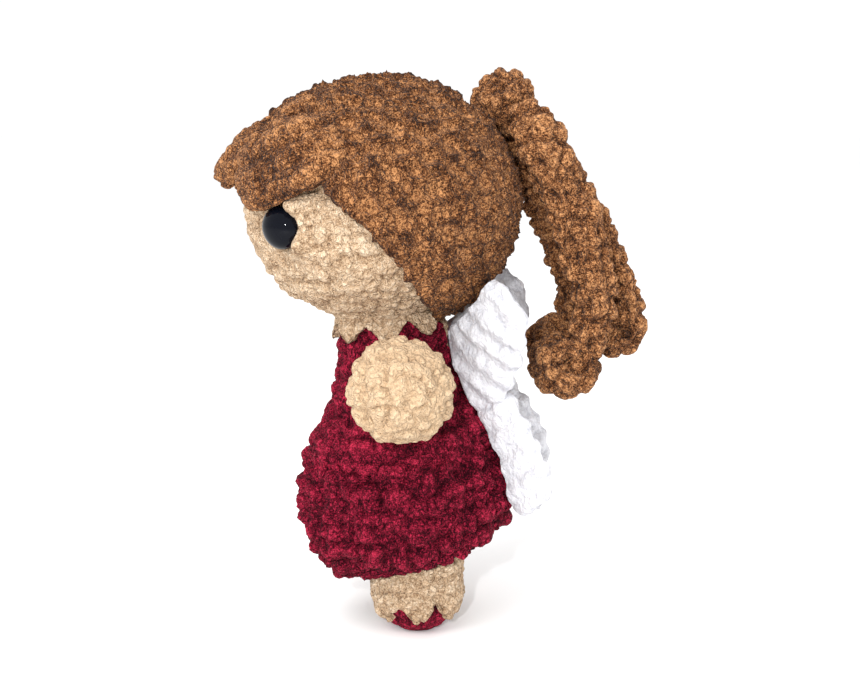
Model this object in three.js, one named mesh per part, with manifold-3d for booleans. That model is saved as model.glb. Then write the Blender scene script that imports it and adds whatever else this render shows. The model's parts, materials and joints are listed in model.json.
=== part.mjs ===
// A plush fairy doll, crocheted in thick velvety chenille yarn and stuffed. It stands on its two
// shoes with its body leaning forward a little. Millimetres, +Z up, the face towards -Y and the
// doll's own left side towards +X.
//
// The pieces are drawn in the doll's own frame, with its body axis upright on Z, and the doll is
// then leaned forward about the floor line between its feet. The legs are drawn upright under it.
// Each piece that moves hangs in a group whose origin is its pivot.
import * as THREE from 'three';
import { mergeVertices } from 'three/addons/utils/BufferGeometryUtils.js';
import Module from 'manifold-3d';

const wasm = await Module();
wasm.setup();

// Sizes shared by several pieces. The wall is one layer of crochet, thinner on the small limbs.
const lean = THREE.MathUtils.degToRad(6);
const gap = 0.3;
const wall = 5;
const limbWall = 4;

// Body: one pear-shaped tube, open at the neck and closed at the bottom
const body = { bottomZ: 40, waistZ: 71, topZ: 122, waistRadius: 37.5, coreRadius: 31.5 };
const bodiceShares = [[0, 1], [0.2, 0.92], [0.46, 0.74], [0.67, 0.64], [0.8, 0.585], [1, 0.56]];
const coreShares = [[0, 0.3], [0.04, 0.62], [0.14, 0.84], [0.32, 0.97], [0.5, 1], [1, 1]];
const hollowShares = [[0, 0.5], [0.08, 0.78], [0.3, 0.82], [0.45, 0.78], [0.7, 0.52], [0.86, 0.42], [1, 0.3]];

// Neck: the last rounds under the head, which they reach into
const neck = { radius: 19.5, length: 2.5, overlap: 6.5 };

// Head: a ball of skin-coloured crochet, a little wider than it is high, open over the neck
const head = { radius: 51, halfHeight: 44.5, holeRadius: 11, turn: THREE.MathUtils.degToRad(13) };

// Skirt: a thick ring of big puffs in rows round the waist, its hem higher at the back
const skirt = { hemZ: 29, hemRise: 4.5, proud: 5.5, puffs: 12, puffDepth: 3, rows: 3 };
const skirtShares = [[0, 0.72], [0.03, 0.8], [0.1, 0.87], [0.22, 0.95], [0.4, 1], [0.58, 1], [0.78, 0.97],
  [0.92, 0.93], [1, 0.88]];

// Legs: two short thick tubes, whose lowest rounds are the wine-red shoes. A leg turns in a dome
// that is round about its hip.
const hip = { x: 14.3, y: -1.5, z: 26, room: 0.8 };
const leg = { halfWidth: 13.5, halfDepth: 18.7, shoeTopZ: 9, soleCut: 0.5, mouthRadius: 5 };
const legShares = [[0.01, 0.34], [0.05, 0.45], [0.12, 0.6], [0.22, 0.76], [0.36, 0.9], [0.55, 0.98],
  [0.8, 1]];

// Arms: stubby mitts, narrow where they are sewn on under the neck and round at the hand
const arm = { drop: 16.5, y: 1, proud: 1.7, length: 44, radius: 20, rootRadius: 5, mouthRadius: 1.5 };
const armAimShares = [1, 0.12, -0.05];
const armShares = [[0.04, 0.17], [0.1, 0.22], [0.18, 0.29], [0.3, 0.6], [0.44, 0.88], [0.62, 1], [0.78, 0.9],
  [0.9, 0.66], [0.97, 0.36]];
const armHollowShares = [[0.08, 0.4], [0.3, 0.85], [0.55, 1], [0.8, 0.84], [0.94, 0.5]];
const tubeShares = [[0, 1], [1, 1]];

// Wings: an upper and a lower petal on each side, sewn to the back along a short seam. They keep
// clear of the dress as they fold back, and of the head as it nods.
const seam = { azimuth: THREE.MathUtils.degToRad(17), drop: 29, radius: 4.5 };
const upperWing = { reach: [25, 15, 39], halfWidth: 18.5, halfThickness: 6 };
const lowerWing = { reach: [18, 14, -41], halfWidth: 14, halfThickness: 6 };
const petalShares = [[0.03, 0.66], [0.12, 0.86], [0.3, 0.97], [0.55, 1], [0.78, 0.92], [0.93, 0.64]];
const wingSweep = { left: 0, right: THREE.MathUtils.degToRad(13) };
const foldAngles = [12, 24, 35].map(THREE.MathUtils.degToRad);
const nodRoom = 3.6;

// Hair: a cap crocheted in rounds about a pole at the upper back of the head, cut free of the neck
const cap = { thickness: 6, poleTilt: THREE.MathUtils.degToRad(36), edge: -11, napeRadius: 24 };
const rounds = { count: 14, depth: 2.4 };

// Fringe: thick locks that hang from the cap's front edge and flip outward at their tips. Their
// azimuths and elevations are degrees over the head, and their lifts are shares of its radius.
const lockHalfThickness = 6.5;
const locks = [
  { name: 'fringe_left', azimuths: [62, 44, 28, 12], elevations: [46, 33, 21, 15],
    liftShares: [0.04, 0.06, 0.06, 0.08], halfWidth: 14 },
  { name: 'fringe_center', azimuths: [45, 24, 6, -8], elevations: [62, 46, 31, 17],
    liftShares: [0, 0.02, 0.08, 0.216], halfWidth: 12 },
  { name: 'fringe_right', azimuths: [-64, -48, -36, -25], elevations: [44, 32, 22, 15],
    liftShares: [0.04, 0.06, 0.08, 0.12], halfWidth: 13 },
];
const lockShares = [[0.03, 0.5], [0.16, 0.82], [0.38, 1], [0.62, 0.95], [0.82, 0.74], [0.95, 0.45]];

// Ponytail: a knot behind the head and below its top, and three strands that hang from it and end
// in rolls. Their places are measured from the middle of the knot.
const knot = { behind: 5, below: 9.5, radius: 13 };
const strand = { halfWidth: 10, halfThickness: 6.5 };
const roll = { radius: 14.5, backRadius: 11.4, halfLength: 10 };
const strandShares = [[0.02, 0.5], [0.09, 0.9], [0.25, 1], [0.42, 1], [0.6, 1], [0.78, 1], [0.95, 0.95]];
const rollShares = [[0, 0.7], [0.14, 0.95], [0.86, 0.95], [1, 0.7]];
const sideRoute = [[12, 2, -1], [17, 9, -18], [20, 17, -42], [21, 21, -65], [21, 23, -83], [18, 20, -101]];
const sideRoll = [18, 9, -103];
const backRoute = [[0, 8, 0], [0, 16, -19], [0, 30, -46], [0, 39, -70], [0, 39, -92]];
const backRoll = [0, 38, -96];
const strandSwing = { left: 0, right: THREE.MathUtils.degToRad(5.15) };

// Eyes: black domes on posts that pass through the head's wall into washers
const eye = { radius: 8, height: 6, azimuth: 37, elevation: -2, postRadius: 2, postLength: 9.5 };
const washer = { radius: 7.5, thickness: 1.5, sink: 2.3 };

const skin = { color: 0xe8d2af, roughness: 0.95, metalness: 0 };
const wine = { color: 0x8c1432, roughness: 0.95, metalness: 0 };
const brown = { color: 0x8c5a32, roughness: 0.95, metalness: 0 };
const white = { color: 0xf0eef2, roughness: 0.95, metalness: 0 };
const black = { color: 0x101218, roughness: 0.12, metalness: 0 };
const clear = { color: 0xd8d8d4, roughness: 0.4, metalness: 0 };
const fibre = { color: 0xf4f2ec, roughness: 1, metalness: 0 };

const up = new THREE.Vector3(0, 0, 1);
const across = new THREE.Vector3(1, 0, 0);
const sides = [['left', 1], ['right', -1]];

// Solids, cuts and joins

function asSolid(geometry) {
  const bare = geometry.clone();
  bare.deleteAttribute('normal');
  bare.deleteAttribute('uv');
  const merged = mergeVertices(bare);
  const vertProperties = new Float32Array(merged.attributes.position.array);
  const triVerts = new Uint32Array(merged.index.array);
  return new wasm.Manifold(new wasm.Mesh({ numProp: 3, vertProperties, triVerts }));
}

function asGeometry(solid) {
  const mesh = solid.getMesh();
  const geometry = new THREE.BufferGeometry();
  geometry.setAttribute('position', new THREE.BufferAttribute(mesh.vertProperties, 3));
  geometry.setIndex(new THREE.BufferAttribute(mesh.triVerts, 1));
  geometry.computeVertexNormals();
  return geometry;
}

function cut(geometry, ...tools) {
  return asGeometry(tools.reduce((left, tool) => left.subtract(asSolid(tool)), asSolid(geometry)));
}

function joined(...parts) {
  return asGeometry(parts.map(asSolid).reduce((whole, part) => whole.add(part)));
}

function common(geometry, other) {
  return asGeometry(asSolid(geometry).intersect(asSolid(other)));
}

// Shapes

// An oval ball with its poles on Z
function ball([x, y, z], radius, halfHeight, around = 16, rings = 8) {
  const geometry = new THREE.SphereGeometry(1, around, rings);
  geometry.rotateX(Math.PI / 2);
  geometry.scale(radius, radius, halfHeight);
  geometry.translate(x, y, z);
  return geometry;
}

// A turned body about Z, from points of radius and height that run upwards on its outside
function turned(points, around) {
  const geometry = new THREE.LatheGeometry(points.map(([r, z]) => new THREE.Vector2(r, z)), around);
  return geometry.rotateX(Math.PI / 2);
}

// Evenly spaced points on a smooth curve through pairs of shares
function smooth(shares, count) {
  const curve = new THREE.SplineCurve(shares.map(([a, b]) => new THREE.Vector2(a, b)));
  return curve.getPoints(count).map((point) => [point.x, point.y]);
}

// A body that swells and tapers along a curve. Each pair of shares gives a place along the curve
// and the size of the oval section there, whose width lies across the given direction. A point
// closes each end.
function swollen(curve, shares, halfWidth, halfDepth, widthAlong = across, around = 10) {
  const positions = [];
  const faces = [];
  shares.forEach(([at, size]) => {
    const centre = curve.getPointAt(at);
    const along = curve.getTangentAt(at);
    const depth = new THREE.Vector3().crossVectors(along, widthAlong).normalize();
    const width = new THREE.Vector3().crossVectors(depth, along).normalize();
    for (let side = 0; side < around; side += 1) {
      const angle = (2 * Math.PI * side) / around;
      const point = centre.clone().addScaledVector(width, size * halfWidth * Math.cos(angle));
      point.addScaledVector(depth, size * halfDepth * Math.sin(angle));
      positions.push(...point.toArray());
    }
  });
  const start = shares.length * around;
  const end = start + 1;
  positions.push(...curve.getPointAt(0).toArray(), ...curve.getPointAt(1).toArray());
  const last = start - around;
  for (let side = 0; side < around; side += 1) {
    const next = (side + 1) % around;
    faces.push(start, next, side);
    for (let here = 0; here < last; here += around) {
      faces.push(here + side, here + next, here + around + next);
      faces.push(here + side, here + around + next, here + around + side);
    }
    faces.push(end, last + side, last + next);
  }
  const geometry = new THREE.BufferGeometry();
  geometry.setAttribute('position', new THREE.Float32BufferAttribute(positions, 3));
  geometry.setIndex(faces);
  geometry.computeVertexNormals();
  return geometry;
}

// Groups and pieces

const doll = new THREE.Group();
const torso = new THREE.Group();
torso.rotation.x = lean;
torso.userData.pivot = new THREE.Vector3();
doll.add(torso);

// A group that turns about a pivot, which is given in the doll's own frame
function pivoted(parent, name, [x, y, z]) {
  const group = new THREE.Group();
  group.name = name;
  group.userData.pivot = new THREE.Vector3(x, y, z);
  group.position.copy(group.userData.pivot).sub(parent.userData.pivot);
  parent.add(group);
  return group;
}

// A shape of the doll's own frame, as it lies in a group that is turned about its pivot
function seenFrom(group, geometry) {
  const { pivot } = group.userData;
  const shape = geometry.clone().translate(-pivot.x, -pivot.y, -pivot.z);
  shape.applyQuaternion(group.quaternion.clone().invert());
  return shape.translate(pivot.x, pivot.y, pivot.z);
}

// Puts a piece that is drawn in the doll's own frame into its group
function place(group, name, geometry, look) {
  const mesh = new THREE.Mesh(geometry, new THREE.MeshStandardMaterial(look));
  mesh.name = name;
  mesh.position.copy(group.userData.pivot).negate();
  group.add(mesh);
}

// Head, with its eyes

const headBottomZ = body.topZ + neck.length;
const neckTopZ = headBottomZ + neck.overlap;
const headCentre = new THREE.Vector3(0, 0, headBottomZ + head.halfHeight);

function headBall(grow, around = 26, rings = 13) {
  return ball(headCentre.toArray(), head.radius + grow, head.halfHeight + grow, around, rings);
}

// A point over the head's surface. Azimuth 0 is the face, and it grows to the doll's left.
function overHead(azimuth, elevation, out) {
  const a = THREE.MathUtils.degToRad(azimuth);
  const e = THREE.MathUtils.degToRad(elevation);
  const aim = new THREE.Vector3(Math.sin(a) * Math.cos(e), -Math.cos(a) * Math.cos(e), Math.sin(e));
  const reach = 1 / Math.hypot(aim.x / head.radius, aim.y / head.radius, aim.z / head.halfHeight);
  return aim.multiplyScalar(reach + out).add(headCentre);
}

// Turns a shape drawn about Z at the origin so that it stands on the head at an eye
function atEye(geometry, side) {
  const seat = overHead(side * eye.azimuth, eye.elevation, gap);
  const outward = seat.clone().sub(headCentre).normalize();
  geometry.applyQuaternion(new THREE.Quaternion().setFromUnitVectors(up, outward));
  geometry.translate(...seat.toArray());
  return geometry;
}

function eyeShape(side, room) {
  const postEnd = -eye.postLength - room;
  const outline = [[0, postEnd], [eye.postRadius + room, postEnd]];
  outline.push([eye.postRadius + room, -room], [eye.radius + room, -room]);
  const steps = 4;
  for (let step = 1; step < steps; step += 1) {
    const angle = (Math.PI / 2) * (step / steps);
    outline.push([(eye.radius + room) * Math.cos(angle), (eye.height + room) * Math.sin(angle)]);
  }
  outline.push([0, eye.height + room]);
  return atEye(turned(outline, 16), side);
}

// A washer, or the room for it, which is open towards the head's wall
function washerShape(side, room) {
  const inner = eye.postRadius + gap - room;
  const outer = washer.radius + room;
  const top = -wall - washer.sink;
  const far = top - washer.thickness - room;
  const near = room ? -wall : top;
  return atEye(turned([[inner, far], [outer, far], [outer, near], [inner, near], [inner, far]], 12), side);
}

const neckBore = turned([
  [0, headBottomZ - wall],
  [head.holeRadius, headBottomZ - wall],
  [head.holeRadius, headBottomZ + 2 * wall],
  [0, headBottomZ + 2 * wall],
], 16);
const eyeHoles = sides.map(([, side]) => eyeShape(side, gap));
const washerRooms = sides.map(([, side]) => washerShape(side, gap));

const headPivot = [0, 0, (body.topZ + neckTopZ) / 2];
const neckGroup = pivoted(torso, 'neck', headPivot);
neckGroup.rotation.z = head.turn;
const headGroup = pivoted(neckGroup, 'head', headPivot);
place(headGroup, 'head_shell', cut(headBall(0), headBall(-wall, 20, 10), neckBore, ...eyeHoles), skin);
place(headGroup, 'head_stuffing', cut(headBall(-wall - gap, 20, 10), ...eyeHoles, ...washerRooms), fibre);
sides.forEach(([name, side]) => {
  place(headGroup, `eye_${name}`, eyeShape(side, 0), black);
  place(headGroup, `eye_washer_${name}`, washerShape(side, 0), clear);
});

// Hair cap

const poleAim = new THREE.Vector3(0, Math.cos(cap.poleTilt), Math.sin(cap.poleTilt));
const capSize = 4 * head.radius;
const capHalf = new THREE.BoxGeometry(capSize, capSize, capSize);
capHalf.translate(0, 0, capSize / 2 + cap.edge);
capHalf.applyQuaternion(new THREE.Quaternion().setFromUnitVectors(up, poleAim));
capHalf.translate(...headCentre.toArray());

// The cap's outside: an oval ball about the pole, which bulges in rounds with a groove between them
function capOutside() {
  const geometry = new THREE.SphereGeometry(1, 28, 2 * rounds.count);
  geometry.rotateX(cap.poleTilt);
  const { position } = geometry.attributes;
  const aim = new THREE.Vector3();
  for (let step = 0; step < position.count; step += 1) {
    aim.fromBufferAttribute(position, step);
    const ring = Math.round((2 * rounds.count * aim.angleTo(poleAim)) / Math.PI);
    const groove = ring % 2 ? 0 : rounds.depth;
    const reach = 1 / Math.hypot(aim.x / head.radius, aim.y / head.radius, aim.z / head.halfHeight);
    aim.multiplyScalar(reach + cap.thickness - groove).add(headCentre);
    position.setXYZ(step, ...aim.toArray());
  }
  return geometry;
}

const napeRoom = new THREE.CylinderGeometry(cap.napeRadius, cap.napeRadius, 2 * head.radius, 24);
napeRoom.rotateX(Math.PI / 2);
napeRoom.translate(0, 0, headCentre.z - head.radius);
const hairCap = cut(common(capOutside(), capHalf), headBall(gap), napeRoom);
place(headGroup, 'hair_cap', hairCap, brown);

// Fringe

const capRoom = headBall(2 * gap + cap.thickness);
const capTool = common(capRoom, capHalf);
locks.reduce((earlier, lock) => {
  const points = lock.azimuths.map((azimuth, step) => (
    overHead(azimuth, lock.elevations[step], lock.liftShares[step] * head.radius)));
  const line = new THREE.CatmullRomCurve3(points);
  const outward = points[1].clone().sub(headCentre).normalize();
  const widthAlong = new THREE.Vector3().crossVectors(outward, line.getTangentAt(0.5)).normalize();
  const shape = swollen(line, lockShares, lock.halfWidth, lockHalfThickness, widthAlong);
  const grown = swollen(line, lockShares, lock.halfWidth + gap, lockHalfThickness + gap, widthAlong);
  place(headGroup, lock.name, cut(shape, headBall(gap), capTool, ...eyeHoles, ...earlier), brown);
  return [...earlier, grown];
}, []);

// Ponytail

const knotCentre = [0, head.radius + knot.behind, headCentre.z + head.halfHeight - knot.below];

function knotBall(grow) {
  return ball(knotCentre, knot.radius + grow, knot.radius + grow, 18, 9);
}

place(headGroup, 'ponytail_knot', cut(knotBall(0), capRoom), brown);

// A strand and its roll, as one piece that hangs free of the cap and the knot
function addStrand(name, side, points, middle, rollRadius, halfAcross, halfDepth) {
  const mirrored = ([x, y, z]) => new THREE.Vector3(...knotCentre).add(new THREE.Vector3(side * x, y, z));
  const group = pivoted(headGroup, `strand_${name}`, knotCentre);
  group.rotation.x = strandSwing[name] ?? 0;
  const route = new THREE.CatmullRomCurve3(points.map(mirrored));
  const length = swollen(route, strandShares, halfAcross, halfDepth);
  const rollLine = new THREE.LineCurve3(
    mirrored(middle).addScaledVector(across, -roll.halfLength),
    mirrored(middle).addScaledVector(across, roll.halfLength),
  );
  const shape = joined(length, swollen(rollLine, rollShares, rollRadius, rollRadius, up, 12));
  const rooms = [capRoom, knotBall(2 * gap)].map((room) => seenFrom(group, room));
  place(group, `curl_${name}`, cut(shape, ...rooms), brown);
}

sides.forEach(([name, side]) => (
  addStrand(name, side, sideRoute, sideRoll, roll.radius, strand.halfThickness, strand.halfWidth)));
addStrand('back', 1, backRoute, backRoll, roll.backRadius, strand.halfWidth, strand.halfThickness);

// Body with its stuffing

function between(from, to, share) {
  return from + share * (to - from);
}

const coreOutline = smooth(coreShares, 6).map(([share, size]) => (
  [size * body.coreRadius, between(body.bottomZ, body.waistZ, share)]));
const bodiceOutline = smooth(bodiceShares, 7).map(([share, size]) => (
  [size * body.waistRadius, between(body.waistZ, body.topZ, share)]));

// The hollow, or the stuffing in it when it is drawn a gap smaller
const hollowBottomZ = body.bottomZ + 2 * wall;
function hollowOutline(less) {
  const wallPoints = smooth(hollowShares, 6).map(([share, size]) => (
    [size * body.waistRadius - less, between(hollowBottomZ + less, body.topZ, share)]));
  return [[0, hollowBottomZ + less], ...wallPoints];
}

function bodiceRadiusAt(z) {
  const next = bodiceOutline.findIndex(([, height]) => height >= z);
  const [[r0, z0], [r1, z1]] = [bodiceOutline[next - 1], bodiceOutline[next]];
  return between(r0, r1, (z - z0) / (z1 - z0));
}

const shoulderZ = body.topZ - arm.drop;
const shoulderX = bodiceRadiusAt(shoulderZ) + arm.proud;
const bodyOutline = [[0, body.bottomZ], ...coreOutline, ...bodiceOutline, ...hollowOutline(0).reverse()];
const armRooms = sides.map(([, side]) => (
  ball([side * shoulderX, arm.y, shoulderZ], arm.rootRadius + gap, arm.rootRadius + gap)));
const hipRooms = sides.map(([, side]) => {
  const room = new THREE.SphereGeometry(1, 18, 9);
  room.scale(leg.halfWidth + hip.room, leg.halfDepth + hip.room, leg.halfDepth + hip.room);
  room.translate(side * hip.x, hip.y, hip.z);
  return room.rotateX(-lean);
});
place(torso, 'dress_bodice', cut(turned(bodyOutline, 26), ...armRooms, ...hipRooms), wine);
place(torso, 'body_stuffing', turned([...hollowOutline(gap), [0, body.topZ]], 26), fibre);

// Arms

sides.forEach(([name, side]) => {
  const group = pivoted(torso, `arm_${name}`, [side * shoulderX, arm.y, shoulderZ]);
  const { pivot } = group.userData;
  const [outward, back, rise] = armAimShares;
  const aim = new THREE.Vector3(side * outward, back, rise).normalize();
  const along = (from, to) => (
    new THREE.LineCurve3(pivot.clone().addScaledVector(aim, from), pivot.clone().addScaledVector(aim, to)));
  const end = arm.length - arm.rootRadius;
  const shell = swollen(along(-arm.rootRadius, end), armShares, arm.radius, arm.radius, up, 16);
  const hollowLine = along(arm.rootRadius, end - limbWall);
  const inside = arm.radius - limbWall;
  const hollow = swollen(hollowLine, armHollowShares, inside, inside, up, 12);
  const fill = swollen(hollowLine, armHollowShares, inside - 2 * gap, inside - 2 * gap, up, 12);
  const mouthLine = along(-arm.rootRadius - gap, arm.rootRadius + limbWall);
  const mouth = swollen(mouthLine, tubeShares, arm.mouthRadius, arm.mouthRadius, up, 8);
  place(group, `arm_shell_${name}`, cut(shell, hollow, mouth), skin);
  place(group, `arm_stuffing_${name}`, fill, fibre);
});

// Neck

const neckFootZ = body.topZ + gap;
const neckOutline = [[0, neckFootZ], [neck.radius, neckFootZ], [neck.radius, neckTopZ], [0, neckTopZ]];
place(neckGroup, 'neck_collar', cut(turned(neckOutline, 24), headBall(gap)), skin);

// Skirt

const skirtTopZ = body.waistZ - gap;
const skirtRadius = body.waistRadius + skirt.proud;

// The outside bulges in rows of puffs, each row half a puff round from the last, and the hem
// rises towards the back
function skirtShape() {
  const outline = smooth(skirtShares, 3 * skirt.rows);
  const around = 4 * skirt.puffs;
  const height = skirtTopZ - skirt.hemZ;
  const inner = (body.coreRadius + gap) / skirtRadius;
  const positions = [];
  const faces = [];
  const ring = outline.length + 2;
  for (let turn = 0; turn < around; turn += 1) {
    const angle = (2 * Math.PI * turn) / around;
    const rise = -skirt.hemRise * Math.cos(angle);
    [...outline, [1, inner], [wall / height, inner]].forEach(([share, size], step) => {
      const row = Math.min(Math.floor(share * skirt.rows), skirt.rows - 1);
      const swell = 1 + Math.cos(skirt.puffs * angle + Math.PI * row);
      const bulge = Math.sin(Math.PI * share * skirt.rows) ** 2 * swell;
      const puff = step < outline.length ? (skirt.puffDepth / 2) * (bulge - 1) : 0;
      const r = size * skirtRadius + puff;
      const z = skirt.hemZ + share * height + (1 - share) * rise;
      positions.push(r * Math.sin(angle), -r * Math.cos(angle), z);
    });
  }
  for (let turn = 0; turn < around; turn += 1) {
    const here = turn * ring;
    const there = ((turn + 1) % around) * ring;
    for (let step = 0; step < ring; step += 1) {
      const next = (step + 1) % ring;
      faces.push(here + step, there + step, there + next);
      faces.push(here + step, there + next, here + next);
    }
  }
  const geometry = new THREE.BufferGeometry();
  geometry.setAttribute('position', new THREE.Float32BufferAttribute(positions, 3));
  geometry.setIndex(faces);
  geometry.computeVertexNormals();
  return geometry;
}

place(torso, 'dress_skirt', skirtShape(), wine);

// The room that the dress takes at the back, for what is sewn on over it
const skirtBackZ = skirt.hemZ + skirt.hemRise;
const skirtRoomRadius = skirtRadius + skirt.puffDepth / 2 + gap;
const skirtRoomOutline = smooth(skirtShares, 3 * skirt.rows).map(([share, size]) => (
  [size * skirtRoomRadius, between(skirtBackZ, skirtTopZ, share)]));
const bodiceRoomOutline = bodiceOutline.map(([r, z]) => [r + gap, z]);
const dressRoom = turned([[0, skirtBackZ], ...skirtRoomOutline, ...bodiceRoomOutline, [0, body.topZ]], 26);

// Legs and shoes, upright under the leaning body

const floorSize = 4 * skirtRadius;
const aboveFloor = new THREE.BoxGeometry(floorSize, floorSize, floorSize);
aboveFloor.translate(0, 0, floorSize / 2);
const aboveShoe = aboveFloor.clone().translate(0, 0, leg.shoeTopZ + gap);
const belowShoe = aboveFloor.clone().translate(0, 0, leg.shoeTopZ - floorSize);
const upright = new THREE.Group();
upright.userData.pivot = new THREE.Vector3();
doll.add(upright);

// A leg's shape, or its inside when it is drawn a wall smaller
function legShape(side, less) {
  const line = new THREE.LineCurve3(
    new THREE.Vector3(side * hip.x, hip.y, less - leg.soleCut),
    new THREE.Vector3(side * hip.x, hip.y, hip.z),
  );
  const halfWidth = leg.halfWidth - less;
  const halfDepth = leg.halfDepth - less;
  const dome = new THREE.SphereGeometry(1, 18, 9);
  dome.scale(halfWidth, halfDepth, halfDepth);
  dome.translate(side * hip.x, hip.y, hip.z);
  return joined(swollen(line, legShares, halfWidth, halfDepth, across, 18), dome);
}

sides.forEach(([name, side]) => {
  const group = pivoted(upright, `leg_${name}`, [side * hip.x, hip.y, hip.z]);
  const whole = legShape(side, 0);
  const domeTop = hip.z + leg.halfDepth;
  const mouthLine = new THREE.LineCurve3(
    new THREE.Vector3(side * hip.x, hip.y, domeTop - 2 * limbWall),
    new THREE.Vector3(side * hip.x, hip.y, domeTop + limbWall),
  );
  const mouth = swollen(mouthLine, tubeShares, leg.mouthRadius, leg.mouthRadius, across, 8);
  const shell = cut(common(whole, aboveShoe), legShape(side, limbWall), mouth);
  place(group, `leg_shell_${name}`, shell, skin);
  place(group, `leg_stuffing_${name}`, common(legShape(side, limbWall + 2 * gap), aboveShoe), fibre);
  place(group, `shoe_${name}`, common(common(whole, belowShoe), aboveFloor), wine);
});

// Wings. The seam follows the slope of the bodice, and each petal has its own half of it.

const halfSeam = seam.radius + gap / 2;
const seamZ = body.topZ - seam.drop;
const bodiceSlope = (bodiceRadiusAt(seamZ + halfSeam) - bodiceRadiusAt(seamZ - halfSeam)) / (2 * halfSeam);
const seamLean = Math.atan(bodiceSlope);
const seamReach = bodiceRadiusAt(seamZ) + (seam.radius + gap) / Math.cos(seamLean);

// A point of the seam line, by its distance up the line from the middle
function onSeam(side, rise) {
  const reach = seamReach + rise * Math.sin(seamLean);
  return new THREE.Vector3(side * reach * Math.sin(seam.azimuth), reach * Math.cos(seam.azimuth),
    seamZ + rise * Math.cos(seamLean));
}

function petal(side, start, wing, grow) {
  const [x, y, z] = wing.reach;
  const line = new THREE.LineCurve3(start, start.clone().add(new THREE.Vector3(side * x, y, z)));
  const facing = new THREE.Vector3(-side, 1, 0);
  const widthAlong = new THREE.Vector3().crossVectors(facing, line.getTangent(0)).normalize();
  const shape = swollen(line, petalShares, wing.halfWidth + grow, wing.halfThickness + grow, widthAlong, 12);
  return joined(shape, ball(start.toArray(), seam.radius + grow, seam.radius + grow, 10, 6));
}

// A tool turned about a seam, back to where it is seen from the wing once that has folded
function folded(tool, group, seamAim, angle) {
  const { pivot } = group.userData;
  const room = tool.clone().translate(-pivot.x, -pivot.y, -pivot.z);
  room.applyQuaternion(new THREE.Quaternion().setFromAxisAngle(seamAim, angle));
  return room.translate(pivot.x, pivot.y, pivot.z);
}

sides.forEach(([name, side]) => {
  const group = pivoted(torso, `wing_${name}`, onSeam(side, 0).toArray());
  group.rotation.z = -wingSweep[name];
  const dressAside = seenFrom(group, dressRoom);
  const seamAim = onSeam(side, 1).sub(onSeam(side, 0)).normalize();
  const rooms = foldAngles.map((angle) => folded(dressAside, group, seamAim, -side * angle));
  rooms.push(dressAside, seenFrom(group, headBall(cap.thickness + nodRoom)));
  const upperStart = onSeam(side, halfSeam);
  const lowerStart = onSeam(side, -halfSeam);
  const upperRoom = petal(side, upperStart, upperWing, gap);
  place(group, `wing_${name}_upper`, cut(petal(side, upperStart, upperWing, 0), ...rooms), white);
  place(group, `wing_${name}_lower`, cut(petal(side, lowerStart, lowerWing, 0), ...rooms, upperRoom), white);
});

// The origin is under the middle of the doll's box, on the floor
const box = new THREE.Box3().setFromObject(doll, true);
const middle = box.getCenter(new THREE.Vector3());
doll.position.set(-middle.x, -middle.y, -box.min.z);

export default doll;
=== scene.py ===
# %% [markdown]
# # A plush fairy doll in chenille crochet
# The doll stands on its shoes and leans forward a little, its face towards -Y and its own left
# side towards +X. Every piece is crocheted in thick velvety yarn, so nearly all of the look is one
# idea, used many times: a smooth stuffed shape, loops of yarn raised on it, and pile on the loops.

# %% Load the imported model
import itertools
import json
import math

import bpy
import numpy as np
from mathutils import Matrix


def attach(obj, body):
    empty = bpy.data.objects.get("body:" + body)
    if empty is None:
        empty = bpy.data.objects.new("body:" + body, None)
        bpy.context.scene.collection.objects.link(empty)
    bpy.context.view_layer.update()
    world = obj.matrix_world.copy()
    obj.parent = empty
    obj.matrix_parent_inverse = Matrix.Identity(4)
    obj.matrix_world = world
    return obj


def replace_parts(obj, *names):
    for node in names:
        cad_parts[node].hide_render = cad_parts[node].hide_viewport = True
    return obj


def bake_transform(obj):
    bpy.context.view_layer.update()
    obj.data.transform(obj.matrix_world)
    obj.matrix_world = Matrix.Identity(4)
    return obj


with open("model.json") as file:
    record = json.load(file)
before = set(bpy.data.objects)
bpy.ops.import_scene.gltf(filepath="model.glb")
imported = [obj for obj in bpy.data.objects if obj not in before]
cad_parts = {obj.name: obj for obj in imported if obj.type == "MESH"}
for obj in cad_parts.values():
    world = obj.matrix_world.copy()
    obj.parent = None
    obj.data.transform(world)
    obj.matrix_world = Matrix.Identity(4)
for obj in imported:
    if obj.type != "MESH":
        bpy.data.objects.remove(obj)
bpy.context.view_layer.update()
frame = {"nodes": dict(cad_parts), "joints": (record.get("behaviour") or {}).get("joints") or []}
joints = {joint["name"]: joint for joint in frame["joints"]}

# %% [markdown]
# ## Where things are
# The pieces are drawn in millimetres in the doll's own frame, with the body axis upright on Z. The
# doll is then leaned forward about the floor, and its head is turned on its neck. The legs stay
# upright. The model's origin is under the middle of its box, and the hip's place in the frame says
# how far that moved everything.

# %% The doll's own frame
MM = 0.001
LEAN = math.radians(6)
HEAD_TURN = math.radians(13)
HIP = np.array([14.3, -1.5, 26.0])
SHIFT = np.array(joints["leg_left_step"]["pos_m"]) / MM - HIP
SIDES = (("left", 1, 0), ("right", -1, 1))


def turned(points, axis, angle):
    """Points turned about a main axis: the other two coordinates mix by cosine and sine."""
    a, b = [(1, 2), (2, 0), (0, 1)][axis]
    points = np.array(points, float)
    out = points.copy()
    out[..., a] = points[..., a] * math.cos(angle) - points[..., b] * math.sin(angle)
    out[..., b] = points[..., a] * math.sin(angle) + points[..., b] * math.cos(angle)
    return out


def on_floor(points):
    """Points of the upright legs in the frame: shifted in millimetres, then scaled to metres."""
    return (points + SHIFT) * MM


def on_torso(points):
    """Points of the body in the frame: turned about X by the lean, then shifted and scaled."""
    return on_floor(turned(points, 0, LEAN))


def on_head(points):
    """Points of the head in the frame: turned about Z on the neck, then leaned with the body."""
    return on_torso(turned(points, 2, HEAD_TURN))


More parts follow.
